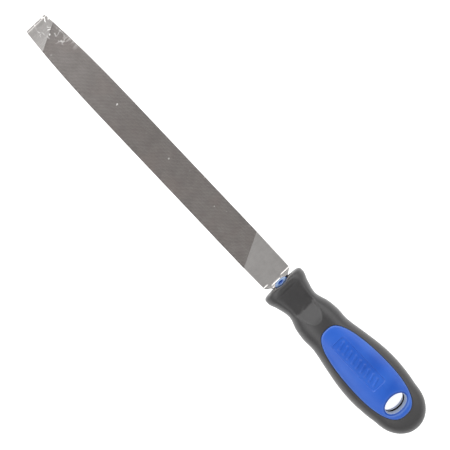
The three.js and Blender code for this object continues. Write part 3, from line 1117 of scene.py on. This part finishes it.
def edge_chip_glints(place):
    """Bright chips in a row of teeth at one edge a little behind the point, which also stand as painted
    glints.
    """
    strokes = spread(noise(place, 820, detail=0, stretch=(1, 0.1, 1)), 0, 1, 0.5, 0.62)
    row_start, row_end = towards_tip(place, 0.029, 0.024), towards_tip(place, 0.013, 0.017)
    at_edge = along_axis(place, "Y", -0.0045, -0.0065)
    return spread(product(strokes, row_start, row_end, at_edge), 0, 0.3, 0.1, 0.9)


def soft_grip_material():
    """Dark rubber with a fine grain and a little dust."""
    material, shader, place = new_material("soft_grip_rubber")
    grain = noise(place, 5200, detail=3)
    cloud = noise(place, 55, detail=5, roughness=0.6)
    dust = noise(place, 420, detail=6, roughness=0.7)
    colour = ramp(cloud, (0.3, 0.7), GRIP_TONES)
    set_inputs(shader, {"Base Color": overlaid(colour, GRIP_DUST, dust, 0.35, 0.58, 0.8),
                        "Roughness": spread(cloud, 0.33, 0.41), "Specular IOR Level": 0.62})
    bump(shader, [(grain, 0.35, 0.00008), (dust, 0.15, 0.0001)])
    return material


def hard_plastic_material():
    """Glossy blue plastic with scratches, lightened where rubbed and by painted highlights and reflections,
    and darkened by painted shade in its grooves and hollows.
    """
    material, shader, place = new_material("hard_blue_plastic")
    cloud = noise(place, 70, detail=3)
    peel = noise(place, 900, detail=2)
    patches = noise(place, 30, detail=2)
    scratches = noise(place, 260, detail=8, stretch=(1, 9, 1), roughness=0.75)
    wear_and_painted_light = attribute(place, "wear_and_painted_light")
    colour = ramp(cloud, (0.34, 0.66), BLUE_TONES)
    colour = overlaid(colour, BLUE_SCRATCHED, scratches, 0.14, 0.6, 0.8)
    colour = overlaid(colour, BLUE_PATCH, patches, 0.5, 0.42, 0.62)
    # Painted highlights and reflections, partly rubbed wear, where the mesh's value is above 0; painted shade
    # where it is below.
    colour = overlaid(colour, BLUE_RUBBED_AND_LIT, wear_and_painted_light, 1, 0, 1)
    colour = mixed(spread(wear_and_painted_light, 1, 0, -1, 0), colour, BLUE_PAINTED_SHADE)
    set_inputs(shader, {"Base Color": colour, "Roughness": spread(cloud, 0.3, 0.4),
                        "Specular IOR Level": 0.45})
    bump(shader, [(peel, 0.12, 0.00012), (scratches, 0.08, 0.00006)])
    return material


def cut_steel_material():
    """The toothed steel: painted shade at the roots and away from the point, with bright nicks and chips that
    are partly painted glints, and painted glints near the point.
    """
    material, shader, place = new_material("cut_file_steel")
    blotches = noise(place, 130, detail=4, roughness=0.6)
    tint = noise(place, 60, detail=3)
    nick_glints = noise(place, 520, detail=2, stretch=(1, 0.5, 1))
    pits = noise(place, 2600, detail=2)
    # Painted shade at the roots of the teeth.
    colour = ramp(attribute(place, "crest"), CUT_TONE_HEIGHTS, CUT_ROOT_SHADE_TONES)
    # Painted shade away from the point.
    shaded_behind_point = multiplied(colour, CUT_SHADE_BEHIND_POINT)
    colour = mixed(towards_tip(place, 0.085, 0.02), shaded_behind_point, colour)
    colour = overlaid(colour, multiplied(colour, CUT_WORN), blotches)
    colour = overlaid(colour, CUT_BROWNED, tint, 0.25, 0.5, 0.68)
    # Bright nicks and chips, partly painted glints.
    colour = overlaid(colour, NICK_GLINT, nick_glints, 0.8, 0.735, 0.775)
    colour = mixed(edge_chip_glints(place), colour, CHIP_GLINT)
    # Painted glints near the point.
    add_painted_glints(shader, place, colour, 0.75)
    set_inputs(shader, {"Roughness": spread(blotches, 0.45, 0.58)})
    bump(shader, [(pits, 0.3, 0.00004)])
    return material


def ground_steel_material():
    """The smooth steel: ground across, spotted, darker in blotches at the point, painted dark on its sides as
    forge skin and painted shade, and with painted glints near the point.
    """
    material, shader, place = new_material("ground_file_steel")
    lines = noise(place, 1800, detail=4, stretch=(1, 0.08, 1), roughness=0.6)
    blotches = noise(place, 160, detail=5, roughness=0.6)
    spots = noise(place, 700, detail=3, roughness=0.6)
    colour = ramp(blotches, (0.3, 0.7), GROUND_TONES)
    colour = overlaid(colour, GROUND_SPOT, spots, 0.6, 0.7, 0.78)
    # Painted shade and forge skin on the upright sides.
    colour = mixed(upright_share(place), colour, mixed(blotches, *FORGE_SKIN_AND_SHADE_TONES))
    # Darker in blotches towards the point.
    tip_darkening = product(towards_tip(place, 0.0125, 0.003), spread(blotches, 0.5, 1))
    colour = overlaid(colour, GROUND_TIP_DARKENING, tip_darkening, 0.7, 0, 1)
    # Painted glints near the point, also raised a little by the bump.
    glints = add_painted_glints(shader, place, colour, 1.0)
    set_inputs(shader, {"Roughness": spread(lines, 0.19, 0.27)})
    bump(shader, [(lines, 0.06, 0.00002), (glints, 0.5, 0.0001)])
    return material


# ---- pieces

def finish_piece(piece, node):
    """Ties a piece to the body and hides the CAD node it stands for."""
    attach(piece, "root")
    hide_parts(node)


def build_blade():
    upper, upper_crest = tooth_skin()
    left, left_crest = edge_skin(1)
    right, right_crest = edge_skin(-1)
    cut_shells = [upper, half_turned(upper), left, right, bar_under_teeth()]
    crests = [upper_crest, upper_crest, left_crest, right_crest, np.zeros(len(cut_shells[-1][0]))]
    smooth_shells = [tip_land(), heel_land()]
    crests += [np.ones(len(points)) for points, _ in smooth_shells]
    shell = join_shells([*cut_shells, *smooth_shells])
    cut_faces = sum(len(faces) for _, faces in cut_shells)
    indices = [0] * cut_faces + [1] * (len(shell[1]) - cut_faces)
    piece = make_object("file_blade_steel", shell, [cut_steel_material(), ground_steel_material()],
                        indices, ("crest", np.concatenate(crests)))
    finish_piece(piece, "file_blade")


def build_core():
    shell, wear_and_painted_light = core_shell()
    piece = make_object("handle_core_panels", shell, [hard_plastic_material()], attribute=("wear_and_painted_light", wear_and_painted_light))
    finish_piece(piece, "handle_core")


def build_grip():
    piece = make_object("grip_overmould_skin", grip_shell(), [soft_grip_material()])
    finish_piece(piece, "grip_overmould")


# ---- scene

# The camera looks straight down: its place in millimetres, the height being above the tool's axis.
CAMERA_HEIGHT = 750.0
CAMERA_XY = (0.65, 0.69)
CAMERA_TURN = math.radians(133.45)
CAMERA_LENS = 104.9
CAMERA_SENSOR = 36
CAMERA_CLIP = (0.01, 20)

FLOOR_REACH = 6.0
FLOOR_GREY = (0.5, 0.5, 0.5)
FLOOR_GLOW = 0.9

# The dim patch overhead, where the camera is: the direction of its middle, and the light at the cosine of
# each angle from it.
DIM_MIDDLE = (-0.10, -0.14, 0.98)
TENT_COSINES = (0.0, 0.3, 0.55, 0.8, 0.875, 0.925, 0.966, 1.0)
TENT_LIGHT = (0.62, 0.95, 2.0, 2.8, 1.45, 0.54, 0.57, 0.56)
RAMP_SCALE = 4  # a ramp holds colours up to 1, so it gets the light divided by this
# The light's share behind the handle and ahead of the point, and the X from which and up to which it changes.
TENT_SIDES = Values(behind=0.5, ahead=1.25, start=-0.7, end=0.45)
HORIZON = (0.02, 0.25)  # the heights over which that difference sets in


def add_camera():
    camera = bpy.data.objects.new("camera", bpy.data.cameras.new("camera"))
    camera.data.sensor_width = CAMERA_SENSOR
    camera.data.lens = CAMERA_LENS
    camera.data.clip_start, camera.data.clip_end = CAMERA_CLIP
    camera.location = (CAMERA_XY[0] / 1000, CAMERA_XY[1] / 1000, (AXIS_Z + CAMERA_HEIGHT) / 1000)
    camera.rotation_euler = (0, 0, -CAMERA_TURN)
    bpy.context.scene.collection.objects.link(camera)
    bpy.context.scene.camera = camera


def add_floor():
    """A pale floor that glows a little, so that it shows white."""
    mesh = bpy.data.meshes.new("floor")
    corners = [(-FLOOR_REACH, -FLOOR_REACH, 0), (FLOOR_REACH, -FLOOR_REACH, 0),
               (FLOOR_REACH, FLOOR_REACH, 0), (-FLOOR_REACH, FLOOR_REACH, 0)]
    mesh.from_pydata(corners, [], [(0, 1, 2, 3)])
    material, shader, _ = new_material("pale_floor")
    set_inputs(shader, {"Base Color": FLOOR_GREY, "Roughness": 0.9, "Specular IOR Level": 0.1,
                        "Emission Color": (1, 1, 1), "Emission Strength": FLOOR_GLOW})
    mesh.materials.append(material)
    floor = bpy.data.objects.new("floor", mesh)
    bpy.context.scene.collection.objects.link(floor)


def add_sky():
    """A white light tent: dim overhead, bright at its walls, and brighter beyond the blade's point."""
    world = bpy.data.worlds.new("light_tent")
    bpy.context.scene.world = world
    world.use_nodes = True
    tree = world.node_tree
    place = add_node(tree, "TexCoord", {})["Generated"]
    nearness = add_node(tree, "VectorMath", {0: place, 1: Vector(DIM_MIDDLE).normalized()},
                        operation="DOT_PRODUCT")["Value"]
    wall = ramp(nearness, TENT_COSINES, [(light / RAMP_SCALE,) * 3 for light in TENT_LIGHT])
    extra = spread(component(place, "X"), TENT_SIDES.behind - 1, TENT_SIDES.ahead - 1,
                   TENT_SIDES.start, TENT_SIDES.end)
    above_horizon = spread(component(place, "Z"), 0, 1, *HORIZON)
    strength = spread(product(extra, above_horizon), 0, 2 * RAMP_SCALE, -1, 1)
    set_inputs(tree.nodes["Background"], {"Color": wall, "Strength": strength})


add_camera()
add_floor()
add_sky()
build_blade()
build_core()
build_grip()
bpy.context.scene.view_settings.view_transform = "Standard"
